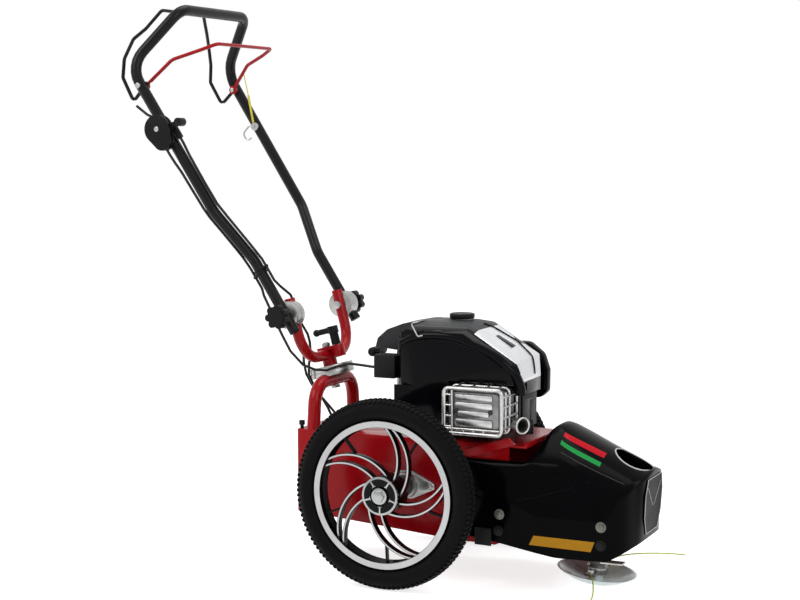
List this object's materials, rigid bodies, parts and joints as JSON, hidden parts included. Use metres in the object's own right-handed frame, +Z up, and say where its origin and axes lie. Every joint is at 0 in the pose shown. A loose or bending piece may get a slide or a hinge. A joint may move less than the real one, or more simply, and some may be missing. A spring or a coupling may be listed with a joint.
{
  "type": "wheeled string trimmer",
  "caption": "Walk-behind petrol string trimmer with spoked wheels, a black nose over a tilted line head, and a folding, swivelling handlebar with control bails.",
  "frame": {"origin": "on the floor under the middle of the object's box", "axes": "+X to the nose, +Y to the machine's left, +Z up"},
  "size_m": [1.1791, 0.5286, 1.2226],
  "materials": {
    "red_paint": "gloss",
    "zinc": "zinc plated",
    "cast_grey": "cast",
    "belt": "matt",
    "gloss_black": "gloss",
    "grained_black": "fine grain",
    "silver_paint": "silver",
    "tank": "translucent",
    "bright_cast": "as cast",
    "tyre": "matt",
    "rim_black": "satin, with bright machined faces",
    "rim_silver": "machined",
    "bowl": "smooth",
    "line": "smooth",
    "black_paint": "satin",
    "cable": "satin",
    "sleeve": "smooth",
    "grey_plastic": "smooth"
  },
  "bodies": {
    "chassis": {"chassis_frame": "red_paint", "steering_arch": "red_paint", "pivot_post": "zinc", "axle_bearings": "zinc", "gearbox": "cast_grey", "drive_belt": "belt", "head_belt": "belt", "nose_shroud": "gloss_black", "nose_stays": "zinc", "side_brackets": "zinc", "line_cutter": "zinc", "spindle_housing": "cast_grey", "engine_block": "cast_grey", "blower_housing": "gloss_black", "top_cover": "grained_black", "front_cowl": "silver_paint", "fuel_tank": "tank", "muffler": "bright_cast", "muffler_guard": "bright_cast", "air_box": "gloss_black", "control_box": "grained_black", "wire_clip": "zinc", "rear_knob": "grained_black", "swivel_cables": "cable"},
    "axle_body": {"axle": "zinc"},
    "wheel_right": {"tyre_right": "tyre", "rim_right": "rim_black", "hub_cap_right": "rim_silver"},
    "wheel_left": {"tyre_left": "tyre", "rim_left": "rim_black", "hub_cap_left": "rim_silver"},
    "gear_input": {"gear_pulley": "cast_grey"},
    "crank": {"crankshaft": "zinc", "flywheel": "cast_grey"},
    "line_head": {"spindle": "zinc", "line_plate": "grained_black", "glide_bowl": "bowl", "line_strand_a": "line", "line_strand_b": "line"},
    "fork_body": {"fork": "red_paint", "fork_discs": "zinc", "fold_cables": "cable"},
    "clamp": {"clamp_lever": "grained_black"},
    "bar": {"handlebar": "black_paint", "bar_discs": "zinc", "bar_trim": "grained_black", "throttle_housing": "grained_black", "rope_guide": "zinc", "bail_bolts": "zinc", "bar_cables": "cable", "bail_wire": "sleeve"},
    "stop": {"stop_bail": "red_paint"},
    "drive": {"drive_bail": "black_paint"},
    "throttle": {"throttle_lever": "grained_black"},
    "star_right": {"knob_right": "grained_black"},
    "star_left": {"knob_left": "grained_black"},
    "starter": {"starter_grip": "grained_black"},
    "filler": {"fuel_cap": "grained_black"},
    "dip": {"dipstick": "grey_plastic"}
  },
  "joints": [
    {"name": "right_wheel_spin", "type": "hinge", "parent": "axle_body", "child": "wheel_right", "pos_m": [0.07528, -0.23, 0.2], "axis": [0, 1, 0], "continuous": true},
    {"name": "left_wheel_spin", "type": "hinge", "parent": "axle_body", "child": "wheel_left", "pos_m": [0.07528, 0.23, 0.2], "axis": [0, 1, 0], "continuous": true},
    {"name": "axle_spin", "type": "hinge", "parent": "chassis", "child": "axle_body", "pos_m": [0.07528, 0, 0.2], "axis": [0, 1, 0], "continuous": true},
    {"name": "gear_input_spin", "type": "hinge", "parent": "chassis", "child": "gear_input", "pos_m": [0.04728, 0, 0.251], "axis": [0, 0, 1], "continuous": true},
    {"name": "crank_spin", "type": "hinge", "parent": "chassis", "child": "crank", "pos_m": [0.17028, 0, 0.3], "axis": [0, 0, 1], "continuous": true},
    {"name": "head_spin", "type": "hinge", "parent": "chassis", "child": "line_head", "pos_m": [0.45728, 0, 0.00104], "axis": [0.1219, 0, 0.9925], "continuous": true},
    {"name": "handlebar_swivel", "type": "hinge", "parent": "chassis", "child": "fork_body", "pos_m": [-0.16172, 0, 0.416], "axis": [-0.2588, 0, 0.9659], "range_deg": [-30, 30], "deforming": ["swivel_cables"]},
    {"name": "clamp_turn", "type": "hinge", "parent": "fork_body", "child": "clamp", "pos_m": [-0.15032, 0, 0.47392], "axis": [-0.2588, 0, 0.9659], "range_deg": [-80, 80]},
    {"name": "handlebar_fold", "type": "hinge", "parent": "fork_body", "child": "bar", "pos_m": [-0.19795, 0, 0.55123], "axis": [0, 1, 0], "range_deg": [-20, 100], "deforming": ["fold_cables"]},
    {"name": "stop_bail_pull", "type": "hinge", "parent": "bar", "child": "stop", "pos_m": [-0.5182, 0, 1.04437], "axis": [0, -1, 0], "range_deg": [0, 31], "stiffness_Nm_per_rad": 1.2, "springref_deg": -57.3, "deforming": ["bail_wire"]},
    {"name": "drive_bail_pull", "type": "hinge", "parent": "bar", "child": "drive", "pos_m": [-0.5182, 0, 1.04437], "axis": [0, 1, 0], "range_deg": [0, 20], "stiffness_Nm_per_rad": 1.2, "springref_deg": -57.3},
    {"name": "throttle_turn", "type": "hinge", "parent": "bar", "child": "throttle", "pos_m": [-0.46303, -0.226, 0.95023], "axis": [0, 1, 0], "range_deg": [-45, 25]},
    {"name": "right_knob_turn", "type": "hinge", "parent": "fork_body", "child": "star_right", "pos_m": [-0.19795, -0.18, 0.55123], "axis": [0, 1, 0], "continuous": true},
    {"name": "left_knob_turn", "type": "hinge", "parent": "fork_body", "child": "star_left", "pos_m": [-0.19795, 0.18, 0.55123], "axis": [0, 1, 0], "continuous": true},
    {"name": "starter_pull", "type": "slide", "parent": "chassis", "child": "starter", "axis": [-0.782, 0.1203, 0.6116], "range_m": [0, 0.4], "stiffness_N_per_m": 40, "springref_m": -0.05},
    {"name": "fuel_cap_turn", "type": "hinge", "parent": "chassis", "child": "filler", "pos_m": [0.15228, 0, 0.55], "axis": [0, 0, 1], "range_deg": [0, 90]},
    {"name": "dipstick_turn", "type": "hinge", "parent": "chassis", "child": "dip", "pos_m": [0.32528, -0.05, 0.35], "axis": [0, 0, 1], "range_deg": [-60, 60]}
  ],
  "couplings": [
    {"joint": "gear_input_spin", "follows": "axle_spin", "ratio": 20},
    {"joint": "head_spin", "follows": "crank_spin", "ratio": 0.66667}
  ]
}
